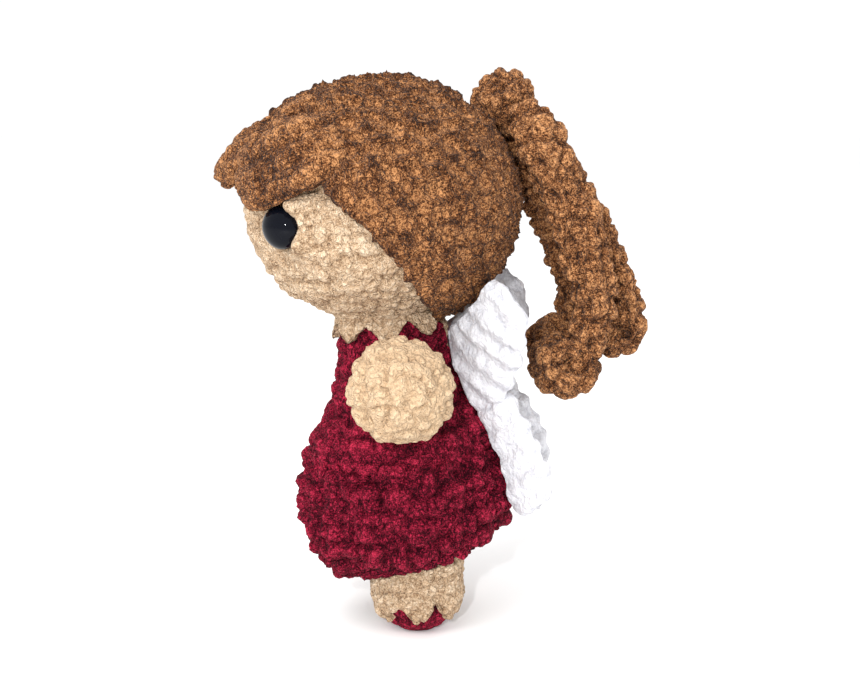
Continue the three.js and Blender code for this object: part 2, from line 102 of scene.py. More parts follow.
print("the frame's shift in mm:", np.round(SHIFT, 2))

# %% [markdown]
# ## Yarn as arithmetic
# Chenille is a fat velvety cord. Crocheted, each stitch shows as a V of two short fat loops, in
# rows that run round the piece, and a new row sits half a stitch on from the last. Modelling the
# cord itself would take millions of faces and still look too neat, so each loop is a small dome
# raised on the surface, and a point takes the highest dome that covers it. Where two domes meet
# there is a sharp crease, which is just what the real yarn shows.

# %% Numbers that look random but never change
HASH_WEIGHTS, SEED_WEIGHT, HASH_SCALE = (127.1, 311.7, 74.7), 53.13, 43758.5453
TUFT_INSET, TUFT_SPREAD, CREASE_SLOPE = 0.2, 0.6, 1.7


def hashed(*whole, seed=0.0):
    """A share from 0 to 1 for whole numbers: the fraction of a large sine of their weighted sum."""
    total = sum(value * weight for value, weight in zip(whole, HASH_WEIGHTS)) + seed * SEED_WEIGHT
    return np.modf(np.abs(np.sin(total)) * HASH_SCALE)[0]


def fuzz(points, size, seed=0.0):
    """Smooth noise from -1 to 1: hashed values at the corners of cubes of that size, mixed by
    how near the point is to each corner."""
    cell = np.floor(points / size)
    part = points / size - cell
    part = part * part * (3 - 2 * part)
    total = np.zeros(points.shape[:-1])
    for corner in itertools.product((0, 1), repeat=3):
        near = np.prod(np.where(np.array(corner, bool), part, 1 - part), axis=-1)
        total += near * hashed(*np.moveaxis(cell + np.array(corner), -1, 0), seed=seed)
    return 2 * total - 1


def clumps(points, size, seed=0.0):
    """Height of round tufts with narrow creases between them, 0 in a crease to 1 on top. Hashed
    values place one tuft in each cube of that size. A crease is where the two nearest tufts are
    equally far. The height is one minus the square of one minus that difference times a slope."""
    cell = np.floor(points / size - 0.5)
    part = points / size - cell
    nearest = np.full(points.shape[:-1], 9.0)
    second = nearest
    for hop in itertools.product((0, 1), repeat=3):
        whole = np.moveaxis(cell + np.array(hop), -1, 0)
        tuft = np.stack([hashed(*whole, seed=seed + 0.3 * step) for step in range(3)], -1)
        away = np.linalg.norm(part - hop - TUFT_INSET - TUFT_SPREAD * tuft, axis=-1)
        second = np.minimum(second, np.maximum(nearest, away))
        nearest = np.minimum(nearest, away)
    return 1 - np.clip(1 - CREASE_SLOPE * (second - nearest), 0, 1) ** 2


# %% Loops of yarn on a surface
# How far a dome is from its stitch's middle, and its half width and height, in shares of a stitch.
DOME_PAIR, DOME_ALONE = (0.23, 0.38, 0.66), (0.0, 0.64, 0.7)
DRIFT = 0.44


def rows_on(along, girth, wide, high):
    """How tall the rows are when they fill the length, and how many stitches each girth holds."""
    along, girth = along.mean(0), girth.mean(0)
    last = along.argmax() + 1
    number = max(1, round(float(along.max()) / high))
    high = float(along.max()) / number
    counts = np.interp((np.arange(number) + 0.5) * high, along[:last], girth[:last]) / wide
    return high, np.maximum(np.round(counts), 4)


def loops(turn, along, girth, high, counts, wide, seed, tilt=0.5, domes=(-1, 1), power=0.7):
    """Height of crochet loops, 0 in a crease to 1 on a crest. A stitch has two oval domes that lean
    apart at the top, or one big one. A dome's height is a power of one minus its squared distance
    from its middle. Hashed values move each stitch, size its domes from 0.8 to 1.1, and lean them
    by 0.4 to 1.6 of the tilt."""
    shifts = hashed(np.arange(len(counts)), seed=seed)
    apart, thin, tall = DOME_PAIR if len(domes) > 1 else DOME_ALONE
    level = along / high
    best = np.zeros(np.broadcast_shapes(turn.shape, level.shape))
    for step, hop in itertools.product((-1, 0, 1), repeat=2):
        row = np.floor(level) + step
        inside = (row >= 0) & (row < len(counts))
        row = np.clip(row, 0, len(counts) - 1).astype(int)
        place = turn * counts[row] + shifts[row]
        cell = np.floor(place) + hop
        key = np.mod(cell, counts[row])
        sway = DRIFT * (hashed(row, key, seed=seed) - 0.5)
        rise = DRIFT * (hashed(row, key, seed=seed + 1) - 0.5)
        across = (place - cell - 0.5 - sway) * girth / counts[row]
        up = (level - row - 0.5 - rise) * high
        for side in domes:
            size = 0.8 + 0.3 * hashed(row, key, side + 2.0, seed=seed + 2)
            lean = tilt * (0.4 + 1.2 * hashed(row, key, side + 2.0, seed=seed + 3))
            x = across - side * apart * wide
            short = (x * np.cos(lean) - side * up * np.sin(lean)) / (thin * wide)
            long = (side * x * np.sin(lean) + up * np.cos(lean)) / (tall * high)
            dome = size * np.clip(1 - short**2 - long**2, 0, 1) ** power
            best = np.maximum(best, np.where(inside, dome, 0))
    return best


# %% [markdown]
# ## Surfaces on a grid
# Every shape is a grid of points: one parameter goes round the piece and the other along it. Row
# spacing is even along the outline, so that stitches and faces stay the same size at the round
# ends. A stuffed limb is a line, a width and a depth, and an outline of how wide it is where.

# %% Shares, hills and directions
def unit(vectors):
    """Directions: vectors divided by their lengths."""
    return vectors / np.linalg.norm(vectors, axis=-1, keepdims=True)


def round_shares(count):
    """How far round each point of a ring is, from 0 to just under 1."""
    return np.arange(count)[:, None] / count


def fade(value, start, end, least=0):
    """A share that rises evenly from 0 at the start to 1 at the end, and is no less than least."""
    return np.clip((value - start) / (end - start), least, 1)


def hill(away, wide, power=2):
    """1 at no distance, sinking to 0: e to minus a power of the distance over the width."""
    return np.exp(-((away / wide) ** power))


def away_from(grid, spot):
    """How far each point of a grid is from a spot."""
    return np.linalg.norm(grid[0] - spot, axis=-1)


# %% Lines and outlines
SPAN_STEPS, OVAL_STEPS = 40, 721


def walked(steps):
    """How far one has come at each point, from the steps between points: their running sum."""
    return np.concatenate([[0], np.cumsum(steps)])


def steps_of(points):
    """The lengths of the steps from each point to the next."""
    return np.linalg.norm(np.diff(points, axis=0), axis=1)


def read_off(want, reach, values):
    """Rows of values at the wanted distances, straight between the rows at the known ones."""
    return np.stack([np.interp(want, reach, column) for column in values.T], axis=1)


def evenly(points, count):
    """Points resampled to even steps along the line through them."""
    points = np.array(points, float)
    reach = walked(steps_of(points))
    return read_off(np.linspace(0, reach[-1], count), reach, points)


def curved(points, count):
    """Evenly spaced points on a smooth curve through the given ones. Each span is a cubic whose
    slope at a point is half the step between its two neighbours."""
    points = np.array(points, float)
    padded = np.vstack([2 * points[0] - points[1], points, 2 * points[-1] - points[-2]])
    t = np.linspace(0, 1, SPAN_STEPS, endpoint=False)[:, None]
    spans = []
    for before, here, there, after in zip(padded[:-3], padded[1:-2], padded[2:-1], padded[3:]):
        slope, bend = there - before, 2 * before - 5 * here + 4 * there - after
        twist = 3 * here - before - 3 * there + after
        spans.append(here + 0.5 * (t * slope + t**2 * bend + t**3 * twist))
    return evenly(np.vstack([*spans, points[-1:]]), count)


def stuffed(shares, length, half_width, half_depth, count):
    """An outline as rows of distance, half width and half depth, from pairs of shares, closed to a
    point at both ends."""
    rows = [(at * length, size * half_width, size * half_depth) for at, size in shares]
    return curved([(0, 0, 0), *rows, (length, 0, 0)], count)


# %% Grids
def oval_angle(turn, wide, deep):
    """The angle on an oval at a share of the way round its rim, from the rim's running length."""
    dense = np.linspace(0, 2 * np.pi, OVAL_STEPS)
    oval = np.hypot(np.diff(wide * np.cos(dense)), np.diff(deep * np.sin(dense)))
    return np.interp(turn, walked(oval) / oval.sum(), dense)


def formed(line, outline, wide_along, around):
    """A stuffed shape. A point is the line's point at the outline's distance, plus the half width
    times the cosine of its turn and the half depth times the sine, each along its own direction.
    Gives the points, their turns, their distances along the surface, and the girth there."""
    reach = walked(steps_of(line))
    want = np.clip(outline[:, 0], 0, reach[-1])
    centre = read_off(want, reach, line)
    aim = unit(read_off(want, reach, np.gradient(line, axis=0)))
    deep_aim = unit(np.cross(aim, np.array(wide_along, float)))
    wide_aim = np.cross(deep_aim, aim)
    turn = round_shares(around)
    angle = oval_angle(turn, outline[:, 1].max(), outline[:, 2].max())[..., None]
    sideways = outline[:, 1:2] * np.cos(angle) * wide_aim
    points = centre + sideways + outline[:, 2:] * np.sin(angle) * deep_aim
    mean = (outline[:, 1] + outline[:, 2]) / 2
    along = walked(np.hypot(np.diff(outline[:, 0]), np.diff(mean)))[None]
    return points, turn, along, 2 * np.pi * mean[None]


def lathed(profile, around, half_width=1.0, half_depth=1.0, x=0.0, y=0.0):
    """A form turned about an upright line, from rows of height and radius. Radii are scaled to the
    half width in X and the half depth in Y."""
    profile = np.array(profile, float)
    foot, length = profile[:, 0].min(), np.ptp(profile[:, 0])
    axis = np.array([[x, y, foot], [x, y, foot + length]])
    radii = profile[:, 1]
    outline = np.stack([profile[:, 0] - foot, radii * half_width, radii * half_depth], 1)
    return formed(axis, outline, (1, 0, 0), around)


def facing(points, ring=False):
    """Outward directions of a grid: its step round crossed with its step along."""
    round_step = np.roll(points, -1, 0) - np.roll(points, 1, 0)
    if ring:
        along_step = np.roll(points, -1, 1) - np.roll(points, 1, 1)
    else:
        along_step = np.gradient(points, axis=1)
    out = np.cross(round_step, along_step)
    size = np.linalg.norm(out, axis=-1, keepdims=True)
    out = out / np.maximum(size, 1e-9)
    if not ring:
        out[:, 0], out[:, -1] = out[:, 1].mean(0), out[:, -2].mean(0)
    return out


# %% From a grid to a piece
def added(name, data):
    """Puts data into the scene as a new object."""
    item = bpy.data.objects.new(name, data)
    bpy.context.scene.collection.objects.link(item)
    return item


def piece_from(name, points, lift, material, ring=False):
    """A closed mesh from a grid of points in metres. A grid that isn't a ring ends in two poles,
    which are the means of its first and last rows, and its faces there have one corner less. The
    map OFBake is the grid itself."""
    around, along = points.shape[:2]
    spans = along if ring else along - 1
    i, j = np.meshgrid(np.arange(around), np.arange(spans), indexing="ij")
    i, j = i[..., None] + (0, 1, 1, 0), j[..., None] + (0, 0, 1, 1)
    u, used = i.astype(float), np.ones(i.shape, bool)
    if ring:
        flat, shade = points.reshape(-1, 3), lift.ravel()
        order = np.arange(len(flat)).reshape(around, along)
    else:
        flat = np.vstack([points[:, 1:-1].reshape(-1, 3), points[:, (0, -1)].mean(0)])
        shade = np.concatenate([lift[:, 1:-1].ravel(), [lift[:, 0].mean(), lift[:, -1].mean()]])
        order = np.full((around, along), len(flat) - 2)
        order[:, 1:-1] = np.arange(len(flat) - 2).reshape(around, -1)
        order[:, -1] = len(flat) - 1
        used[:, 0, 1] = used[:, -1, 2] = False
        u[:, 0, 0] += 0.5
        u[:, -1, 3] += 0.5
    corners = order[i % around, j % along][used]
    sizes = used.sum(-1).ravel()
    starts = walked(sizes)[:-1]
    atlas = np.stack([u[used] / around, j[used] / spans], -1)
    mesh = bpy.data.meshes.new(name)
    mesh.vertices.add(len(flat))
    mesh.vertices.foreach_set("co", flat.astype(np.float32).ravel())
    mesh.loops.add(len(corners))
    mesh.loops.foreach_set("vertex_index", corners.astype(np.int32))
    mesh.polygons.add(len(starts))
    mesh.polygons.foreach_set("loop_start", starts.astype(np.int32))
    mesh.update(calc_edges=True)
    mesh.shade_smooth()
    # The lift is painted light and shade, which the finishes read.
    lifts = mesh.attributes.new("lift", "FLOAT", "POINT")
    lifts.data.foreach_set("value", shade.astype(np.float32))
    mesh.uv_layers.new(name="OFBake").data.foreach_set("uv", atlas.astype(np.float32).ravel())
    mesh.materials.append(material)
    return added(name, mesh)


# %% [markdown]
# ## Crochet on any form
# The base form lies a little inside the real surface, and the loops rise from it. The pile bursts
# out of the yarn in lumps and smaller tufts with narrow creases between them. Two sizes of noise
# then rough it up: the larger one makes the soft uneven stuffing, and the smaller one the fringe of
# fibres that breaks up an outline.

# %% Crochet
# In millimetres: how far a base form lies inside, how wide the noises are that sway the rows, jag
# them, raise the pile and make the stuffing uneven, and how wide lumps, tufts and their bends are.
INSET = 0.6
SWAY_SIZE, JAG_SIZE, PILE_SIZE, STUFFING_SIZE = 8.0, 3.0, 1.6, 14.0
LUMP_SIZE, TUFT_SIZE, BEND_SIZE = 8.5, 4.4, 5.0
LUMP_BEND, TUFT_BEND, JAG, LEAST_GIRTH = 1.6, 0.8, 0.5, 30.0
# In shares: the mean height of loops and tufts, and the colour's mean lift with what each adds
# to it: painted light on crests, painted shade in creases and in the folds between the skirt's
# puffs.
MEAN_HEIGHT = 0.6
MEAN_PAINTED_LIGHT, STITCH_PAINTED_LIGHT, TUFT_PAINTED_LIGHT, PUFF_SHADE, PUFF_LIGHT = 0.55, 0.11, 0.12, 0.35, 0.75


def evened(values):
    """Values less their mean, divided by their spread."""
    return (values - values.mean()) / values.std()


def crocheted(name, grid, place, material, body, nodes, seed, depth=2.0, wide=7.6, high=7.6,
              tilt=0.5, domes=(-1, 1), lumps=1.0, tufts=0.6, soft=0.6, pile=0.3, sway=2.0, show=1.0,
              shape=0.0, puffs=None, rooms=(), ring=False, lengthwise=False):
    """Raises yarn on a grid and makes it a piece. The height is the sum of the stitches' loops, the
    lumps, the tufts, two noises for the pile and the stuffing, and the given shape. show fades all
    but the shape where they lie hidden, puffs paint shade into the folds between big bulges, and a
    room pushes points out. Noise sways the rows, so that no two stitches are alike. lengthwise rows
    run along the piece. The colour's lift is the mean plus the evened loops, lumps and tufts:
    painted light on crests and painted shade in the creases."""
    points, turn, along, girth = grid
    if lengthwise:
        round_it, length = float(girth.max()), float(along.max())
        number = max(1, round(round_it / high))
        high, counts = round_it / number, np.full(number, max(2.0, round(length / wide)))
        turn, along, girth = along / length, turn * round_it, length
    else:
        high, counts = rows_on(along, girth, wide, high)
    jag = JAG * fuzz(points, JAG_SIZE, seed + 60)
    sideways = sway * fuzz(points, SWAY_SIZE, seed + 20) + jag
    bent = turn + sideways / np.maximum(girth, LEAST_GIRTH)
    level = along + sway * fuzz(points, SWAY_SIZE, seed + 30) + jag
    yarn = loops(bent, level, girth, high, counts, wide, seed, tilt, domes)
    bend = np.stack([fuzz(points, BEND_SIZE, seed + 70 + step) for step in range(3)], -1)
    lump = clumps(points + LUMP_BEND * bend, LUMP_SIZE, seed + 50)
    tuft = clumps(points + TUFT_BEND * bend, TUFT_SIZE, seed + 40)
    relief = depth * (yarn - MEAN_HEIGHT) + lumps * (lump - MEAN_HEIGHT)
    relief = relief + tufts * (tuft - MEAN_HEIGHT) + pile * fuzz(points, PILE_SIZE, seed + 5)
    height = (relief + soft * fuzz(points, STUFFING_SIZE, seed)) * show + shape
    raised = points + facing(points, ring) * height[..., None]
    for room in rooms:
        raised = room(raised)
    # Painted light and shade: the lift is higher on loops, lumps and tufts and lower in the
    # creases.
    lift = MEAN_PAINTED_LIGHT + STITCH_PAINTED_LIGHT * (evened(yarn) + evened(lump)) + TUFT_PAINTED_LIGHT * evened(tuft)
    lift = np.clip(lift, 0, 1)
    # Painted shade: the colour darkens in the folds between the skirt's puffs.
    if puffs is not None:
        lift = lift * (PUFF_SHADE + PUFF_LIGHT * puffs)
    piece = piece_from(name, place(raised), lift * np.ones(points.shape[:2]), material, ring)
    if body:
        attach(piece, body)
    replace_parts(piece, *nodes)
    print(f"{name}: {len(piece.data.polygons)} faces")
    return piece


# %% [markdown]
# ## Finishes
# Shader maths reads best as Python, so a socket is wrapped in a small class whose operators add
# Math nodes. Everything that changes over the surface feeds the colour, the roughness or the bump.

# %% Shader maths
class Signal:
    """A number over the surface, with Python's operators."""

    def __init__(self, finish, socket):
        self.finish, self.socket = finish, socket

    def maths(self, operation, first, second):
        """A Math node on two numbers or signals."""
        settings = {"operation": operation}
        return self.finish.node("ShaderNodeMath", settings, {0: first, 1: second})["Value"]

    def __add__(self, other):
        return self.maths("ADD", self, other)

    __radd__ = __add__

    def __mul__(self, other):
        return self.maths("MULTIPLY", self, other)

    __rmul__ = __mul__

    def __sub__(self, other):
        return self.maths("SUBTRACT", self, other)

    def __rsub__(self, other):
        return self.maths("SUBTRACT", other, self)

    def clipped(self):
        """The signal held between 0 and 1."""
        limits = {"Value": self, "Min": 0.0, "Max": 1.0}
        return self.finish.node("ShaderNodeClamp", {}, limits)["Result"]


class Finish:
    """A material that is built node by node."""

    def __init__(self, name):
        self.material = bpy.data.materials.new(name)
        self.material.use_nodes = True
        self.tree = self.material.node_tree
        self.tree.nodes.clear()

    def node(self, kind, settings=None, inputs=None):
        """Adds a node, sets it, then fills or links its sockets. Gives its outputs by name."""
        made_node = self.tree.nodes.new(kind)
        for key, value in (settings or {}).items():
            if key == "stops":
                ramp = made_node.color_ramp.elements
                while len(ramp) < len(value):
                    ramp.new(0.5)
                for element, (position, colour) in zip(ramp, value):
                    element.position, element.color = position, (*colour, 1.0)
            else:
                setattr(made_node, key, value)
        for key, value in (inputs or {}).items():
            if isinstance(value, Signal):
                self.tree.links.new(value.socket, made_node.inputs[key])
            else:
                made_node.inputs[key].default_value = value
        return {output.name: Signal(self, output) for output in made_node.outputs}

    def surface(self, **sockets):
        """Ends the material in one shader, whose sockets are named with _ for each space."""
        named = {key.replace("_", " "): value for key, value in sockets.items()}
        shader = self.node("ShaderNodeBsdfPrincipled", {}, named)["BSDF"]
        self.node("ShaderNodeOutputMaterial", {}, {"Surface": shader})
        return self.material


def linear(red, green, blue):
    """A colour as the eye reads it from 0 to 255, in the shader's even steps of light."""
    shares = np.array([red, green, blue]) / 255
    bright = ((shares + 0.055) / 1.055) ** 2.4
    return tuple(np.where(shares <= 0.04045, shares / 12.92, bright).tolist())


def noise(finish, scale, **settings):
    """Noise over the piece with that many features to a metre: its outputs by name."""
    where = finish.node("ShaderNodeTexCoord")["Object"]
    return finish.node("ShaderNodeTexNoise", {}, {"Vector": where, "Scale": scale, **settings})


# %% [markdown]
# Chenille pile is a brush of fine fibres. Seen from outside, their tips catch the light and the
# creases between loops lie in shade, and this light and shade is painted into the colour: it goes
# from the deep colour, painted shade, to the tip colour, painted light, with the loop's height,
# broken up by specks a millimetre wide. Sheen gives the pale rim that velvet has.

# %% Chenille
# How many to a metre: small tufts and the noise that bends their creases, grain, fibres, patches.
CREVICES, WANDERS, GRAINS, FIBRES, PATCHES = 400.0, 500.0, 900.0, 1900.0, 110.0
WANDER_REACH, BUMP_REACH, TUFT_SLOPE, TUFT_MEAN, COLOUR_MEAN = 0.002, 0.0014, 4.0, 0.7, 0.45
# What each adds to the colour and to the bump. The tufts' share of the colour is painted shade
# in the narrow creases between them.
TUFT_CREASE_SHADE, GRAIN_COLOUR, FIBRE_COLOUR, PATCH_COLOUR = 0.28, 1.1, 2.0, 0.25
TUFT_BUMP, GRAIN_BUMP, FIBRE_BUMP = 0.5, 0.6, 0.3


def chenille(name, deep, mid, tip, sheen=0.05, sheen_tint=(1, 1, 1), speck=1.0, crease=0.5,
             bump=1.0):
    """Pile yarn. Its colour runs from deep through mid to tip by the loop's height plus noise: deep
    is painted shade in the creases and tip painted light on the crests, and crease sets how
    strongly the height paints them. The noise is painted shade in the narrow creases between tufts
    2.5 mm wide, and the yarn's own grain of 1.1 mm, fibres of 0.5 mm, and patches 9 mm wide. The
    finer three also roughen it."""
    finish = Finish(name)
    where = finish.node("ShaderNodeTexCoord")["Object"]
    lift = finish.node("ShaderNodeAttribute", {"attribute_name": "lift"})["Fac"]
    shifted = {0: noise(finish, WANDERS, Detail=1.0)["Color"], 1: (WANDER_REACH,) * 3, 2: where}
    spread = finish.node("ShaderNodeVectorMath", {"operation": "MULTIPLY_ADD"}, shifted)
    edges, cells = {"feature": "DISTANCE_TO_EDGE"}, {"Vector": spread["Vector"], "Scale": CREVICES}
    crevice = finish.node("ShaderNodeTexVoronoi", edges, cells)["Distance"]
    tuft = (crevice * TUFT_SLOPE).clipped()
    grain = noise(finish, GRAINS, Detail=2.0, Roughness=0.6, Distortion=0.8)["Fac"]
    fibre = noise(finish, FIBRES, Detail=1.0)["Fac"]
    patch = noise(finish, PATCHES, Detail=1.0)["Fac"]
    # The tufts' share darkens the creases between them: painted shade. Grain, fibres and patches
    # are the yarn's own random tone.
    rough = (tuft - TUFT_MEAN) * TUFT_CREASE_SHADE + (grain - 0.5) * GRAIN_COLOUR
    rough = rough + (fibre - 0.5) * FIBRE_COLOUR
    # Painted shade and light: the loop's lift darkens the creases and lightens the crests.
    height = (lift - 0.5) * crease + rough * speck + (patch - 0.5) * PATCH_COLOUR
    height = (height + COLOUR_MEAN).clipped()
    stops = [(0.0, linear(*deep)), (COLOUR_MEAN, linear(*mid)), (1.0, linear(*tip))]
    colour = finish.node("ShaderNodeValToRGB", {"stops": stops}, {"Fac": height})
    relief = grain * GRAIN_BUMP + fibre * FIBRE_BUMP + tuft * TUFT_BUMP
    bumps = {"Strength": bump, "Distance": BUMP_REACH, "Height": relief}
    normal = finish.node("ShaderNodeBump", {}, bumps)["Normal"]
    return finish.surface(Base_Color=colour["Color"], Roughness=grain * 0.2 + 0.75, Normal=normal,
                          Sheen_Weight=sheen, Sheen_Roughness=0.4, Sheen_Tint=(*sheen_tint, 1.0),
                          Specular_IOR_Level=0.1)


# Each finish's deep colour is painted shade in the creases and its tip colour painted light on the
# crests.
skin = chenille("skin chenille", (132, 102, 74), (198, 168, 136), (232, 212, 185), speck=0.65,
                crease=0.55)
soft_skin = chenille("soft skin chenille", (166, 134, 102), (206, 176, 142), (224, 200, 168),
                     speck=0.35, crease=0.35)
wine = chenille("wine chenille", (40, 2, 12), (104, 13, 34), (182, 42, 70), speck=1.0, crease=0.75,
                sheen_tint=linear(190, 60, 90))
brown = chenille("brown chenille", (46, 25, 14), (114, 71, 41), (194, 138, 90), speck=1.05,
                 crease=0.85)
# A lighter copy of the hair's brown for the knot and strands, painted light that brings them up to
# the cap's brightness.
lit_strand_brown = chenille("lit strand chenille", (50, 28, 16), (130, 83, 50), (208, 150, 100),
                        speck=1.05, crease=0.8)
white = chenille("white chenille", (168, 169, 178), (212, 212, 217), (227, 227, 231), speck=0.2,
                 crease=0.5, bump=0.45)

# %% [markdown]
# ## The head
# The head is a stuffed ball, a little wider than it is high, worked in rounds from top to chin.
# Under each eye the yarn is pressed in, and round it the yarn swells up over the eye's edge. Two
# mounds of it cover the eye's outer edge, above and below, so the eye looks pointed at the side.

# %% Head
HEAD = np.array([0.0, 0.0, 169.0])
HEAD_RADIUS, HEAD_HALF = 51.0, 44.5
HEAD_SIZE = np.array([HEAD_RADIUS, HEAD_RADIUS, HEAD_HALF])
# In millimetres: the swelling round an eye, the hollow under it, and the mounds at its outer edge.
SWELL_HIGH, SWELL_AT, SWELL_WIDE = 1.2, 9.6, 2.2
HOLLOW_DEEP, HOLLOW_WIDE = 3.0, 5.2
MOUND_HIGH, MOUND_WIDE, MOUNDS = 5.6, 3.7, ((45.5, 6.5), (45.5, -10.5))


def over_head(azimuth, elevation, out=0.0):
    """A point over the head. Azimuth 0 is the face, and it grows to the doll's left, in degrees.
    The aim's length to the oval is one over the length of the aim divided by the half sizes."""
    a, e = np.radians(azimuth), np.radians(elevation)
    aim = np.array([np.sin(a) * np.cos(e), -np.cos(a) * np.cos(e), np.sin(e)])
    return HEAD + aim * (1 / np.linalg.norm(aim / HEAD_SIZE) + out)


def ball_profile(radius, half, middle, count):
    """Height and radius up an oval ball: its sine and cosine, in even steps along the curve."""
    angle = np.linspace(-np.pi / 2, np.pi / 2, OVAL_STEPS)
    return evenly(np.stack([middle + half * np.sin(angle), radius * np.cos(angle)], 1), count)


EYES = {"left": over_head(37, -2), "right": over_head(-37, -2)}
head_grid = lathed(ball_profile(HEAD_RADIUS - INSET, HEAD_HALF - INSET, HEAD[2], 180), 400)
socket = 0.0
for seat in EYES.values():
    away = away_from(head_grid, seat)
    swollen = SWELL_HIGH * hill(away - SWELL_AT, SWELL_WIDE)
    socket = socket + swollen - HOLLOW_DEEP * hill(away, HOLLOW_WIDE, 4)
    for azimuth, elevation in MOUNDS:
        mound = over_head(math.copysign(azimuth, seat[0]), elevation)
        socket = socket + MOUND_HIGH * hill(away_from(head_grid, mound), MOUND_WIDE)
crocheted("head_ball", head_grid, on_head, skin, "head", ["head_shell", "head_stuffing"],
          3.0, depth=1.4, wide=8.6, high=8.4, lumps=1.2, soft=0.9, shape=socket)

# %% [markdown]
# ## The eyes
# A toy eye is one moulded piece of black plastic: a dome with a polished face, and a post that
# passes through the crochet into a washer inside. Its outline is turned about its own axis, and
# the axis is then laid along the head's outward direction.

# %% Eyes
EYE_RADIUS, EYE_HIGH, EYE_OUT, EYE_STEPS, EYE_AROUND = 8.0, 6.0, 0.3, 28, 96
POST, EYE_RIM = [(-9.5, 0), (-9.5, 2), (-1, 2)], [(-0.8, 7.4), (-0.4, 7.9)]
eye_plastic = Finish("eye plastic")
haze = noise(eye_plastic, 400.0, Detail=2.0)["Fac"]
black = eye_plastic.surface(Base_Color=(*linear(8, 10, 18), 1.0), Roughness=haze * 0.04 + 0.02,
                            Specular_IOR_Level=0.12)
washer_plastic = Finish("washer plastic")
haze = noise(washer_plastic, 300.0)["Fac"]
clear = washer_plastic.surface(Base_Color=(*linear(216, 216, 212), 1.0), Roughness=haze * 0.2 + 0.3)
for side, seat in EYES.items():
    angle = np.linspace(0, np.pi / 2, EYE_STEPS)
    dome = np.stack([EYE_HIGH * np.sin(angle), EYE_RADIUS * np.cos(angle)], 1)
    points = lathed(np.vstack([POST, EYE_RIM, dome]), EYE_AROUND)[0]
    outward = unit(seat - HEAD)
    level = unit(np.cross((0, 0, 1), outward))
    axes = np.array([level, np.cross(outward, level), outward])
    points = seat + EYE_OUT * outward + points @ axes
    eye = piece_from(f"eye_{side}_dome", on_head(points), np.zeros(points.shape[:2]), black)
    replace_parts(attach(eye, "head"), f"eye_{side}")
    washer = frame["nodes"][f"eye_washer_{side}"].data.materials
    washer.clear()
    washer.append(clear)

# %% [markdown]
# ## The hair cap
# The hair is a second ball worked over the first, from a pole at the upper back of the head. Its
# rounds open towards the face, so its front edge is the hairline, which runs slanting down to the
# nape. The grid's rows are circles round that pole. The rows stop at the edge, turn under and come
# back inside, so the cap has its real thickness.

# %% Cap
POLE = math.radians(36)
CAP_OUT, CAP_IN, CAP_EDGE, NAPE = 5.4, 1.6, -12.0, 24.0
CAP_AROUND, OUTER_ROWS, RIM_ROWS, INNER_ROWS = 380, 150, 7, 13
EDGE_BLUR, ROUND_RADIUS = 6, 56
pole_aim = np.array([0.0, math.cos(POLE), math.sin(POLE)])
pole_side = np.array([0.0, -math.sin(POLE), math.cos(POLE)])


def from_pole(angle, turn, out):
    """A point over the head at an angle from the cap's pole and a turn round it. The aim is the
    pole times the angle's cosine plus the ring's direction times its sine."""
    round_it = -2 * np.pi * turn
    ring = np.cos(round_it)[..., None] * pole_side + np.sin(round_it)[..., None] * (-1, 0, 0)
    aim = np.cos(angle)[..., None] * pole_aim + np.sin(angle)[..., None] * ring
    reach = 1 / np.linalg.norm(aim / HEAD_SIZE, axis=-1)
    return HEAD + aim * (reach + out)[..., None]


cap_turn = round_shares(CAP_AROUND)
sweep = np.linspace(0, np.pi, 361)[None]
angles = sweep + 0 * cap_turn
trial = from_pole(angles, cap_turn + 0 * sweep, np.full(angles.shape, CAP_OUT)) - HEAD
near_neck = (trial[..., 2] < 0) & (np.hypot(trial[..., 0], trial[..., 1]) < NAPE)
outside = (trial @ pole_aim < CAP_EDGE) | near_neck
edge = sweep[0][np.argmax(outside, axis=1)][:, None]
shifts = range(-EDGE_BLUR, EDGE_BLUR + 1)
edge = sum(np.roll(edge, shift, 0) for shift in shifts) / len(shifts)
back_inside = np.linspace(1, 0, INNER_ROWS + 1)[1:]
share = np.concatenate([np.linspace(0, 1, OUTER_ROWS), np.ones(RIM_ROWS), back_inside])[None]
rim = np.linspace(0, np.pi, RIM_ROWS + 2)[1:-1]
rim = np.concatenate([np.zeros(OUTER_ROWS), rim, np.full(INNER_ROWS, np.pi)])[None]
half = (CAP_OUT - CAP_IN) / 2
cap_out = CAP_IN + half + half * np.cos(rim)
cap_angle = share * edge + half * np.sin(rim) / HEAD_RADIUS
cap_points = from_pole(cap_angle, cap_turn + 0 * share, cap_out + 0 * cap_angle)
cap_girth = 2 * np.pi * ROUND_RADIUS * np.maximum(np.sin(cap_angle), 0.02)
cap_grid = (cap_points, cap_turn, cap_angle * ROUND_RADIUS, cap_girth)
crocheted("hair_cap_crochet", cap_grid, on_head, brown, "head", ["hair_cap"],
          11.0, depth=1.8, wide=9.6, high=8.6, lumps=2.4, soft=1.1, show=np.cos(rim / 2) ** 0.5)

# %% [markdown]
# ## The fringe
# Three thick locks are sewn to the cap's front edge. Each one is a padded leaf that lies on the
# cap, follows the forehead and flips out at its tip. Its rows run along it as long ridges.

# %% Fringe
def outside_oval(centre, size):
    """A room that pushes a point straight out from a centre to an oval surface round it. A point's
    share is the length of its offset divided by the oval's half sizes, and the offset is divided
    by it where it is below one."""
    def push(points):
        """Points moved out along their offsets."""
        offset = points - centre
        share = np.linalg.norm(offset / size, axis=-1, keepdims=True)
        return centre + offset * np.maximum(1 / np.maximum(share, 1e-6), 1)
    return push


